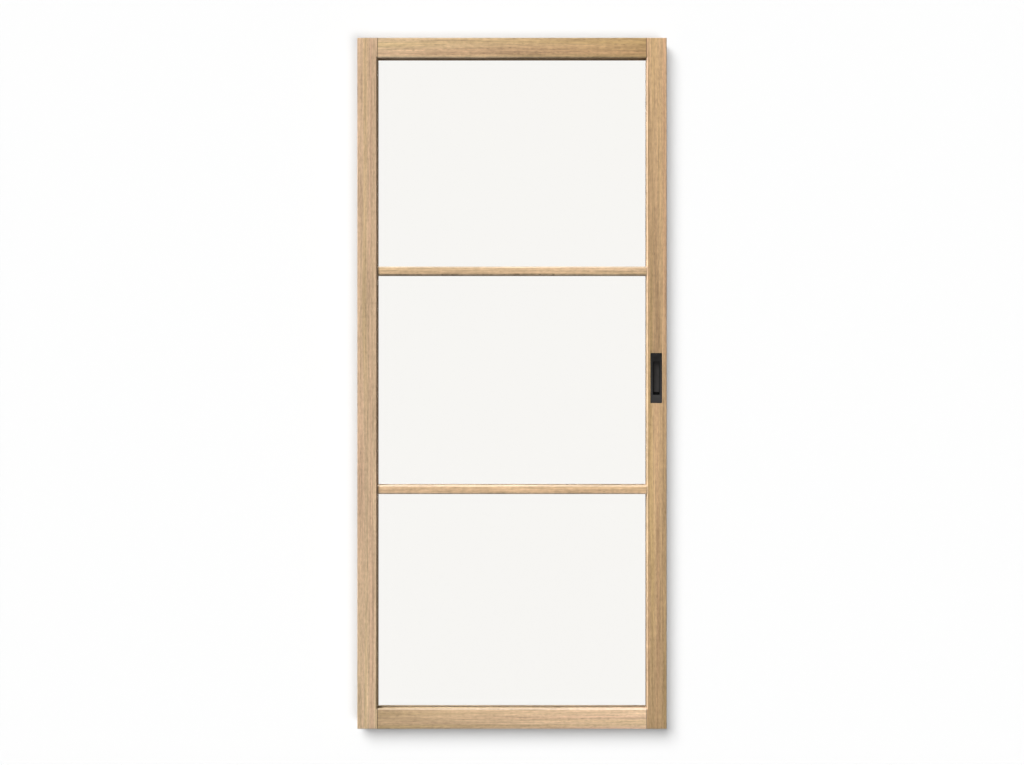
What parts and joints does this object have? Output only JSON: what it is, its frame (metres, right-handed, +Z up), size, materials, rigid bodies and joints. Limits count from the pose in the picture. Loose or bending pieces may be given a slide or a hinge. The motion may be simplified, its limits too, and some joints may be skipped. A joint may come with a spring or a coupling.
{
  "type": "glazed oak sliding interior door",
  "caption": "Slim-framed oak sliding door leaf with clear glass in stacked lights between thin glazing bars, and a black flush pull let into each face of the closing stile.",
  "frame": {"origin": "middle of the leaf's top edge, where the sliding hangers are screwed on", "axes": "+X to the right seen from the front, towards the closing stile; +Y from the front face to the beaded back face; +Z up"},
  "size_m": [0.94, 0.04, 2.1],
  "materials": {
    "oak_frame": "matt oiled light oak, straight grain",
    "oak_bars": "matt oiled light oak, straight grain",
    "oak_beads": "matt oiled light oak, straight grain",
    "clear_glass": "clear polished float glass",
    "glazing_tape": "matt dark foam tape",
    "setting_block": "matt black plastic",
    "black_pull": "satin black powder coat"
  },
  "bodies": {
    "root": {"left_stile": "oak_frame", "right_stile": "oak_frame", "top_rail": "oak_frame", "bottom_rail": "oak_frame", "upper_bar": "oak_bars", "lower_bar": "oak_bars", "glass_top": "clear_glass", "front_tape_top": "glazing_tape", "back_tape_top": "glazing_tape", "setting_blocks_top": "setting_block", "bead_top_top": "oak_beads", "bead_top_bottom": "oak_beads", "bead_top_left": "oak_beads", "bead_top_right": "oak_beads", "glass_middle": "clear_glass", "front_tape_middle": "glazing_tape", "back_tape_middle": "glazing_tape", "setting_blocks_middle": "setting_block", "bead_middle_top": "oak_beads", "bead_middle_bottom": "oak_beads", "bead_middle_left": "oak_beads", "bead_middle_right": "oak_beads", "glass_bottom": "clear_glass", "front_tape_bottom": "glazing_tape", "back_tape_bottom": "glazing_tape", "setting_blocks_bottom": "setting_block", "bead_bottom_top": "oak_beads", "bead_bottom_bottom": "oak_beads", "bead_bottom_left": "oak_beads", "bead_bottom_right": "oak_beads", "pull_front": "black_pull", "pull_back": "black_pull"}
  },
  "joints": []
}
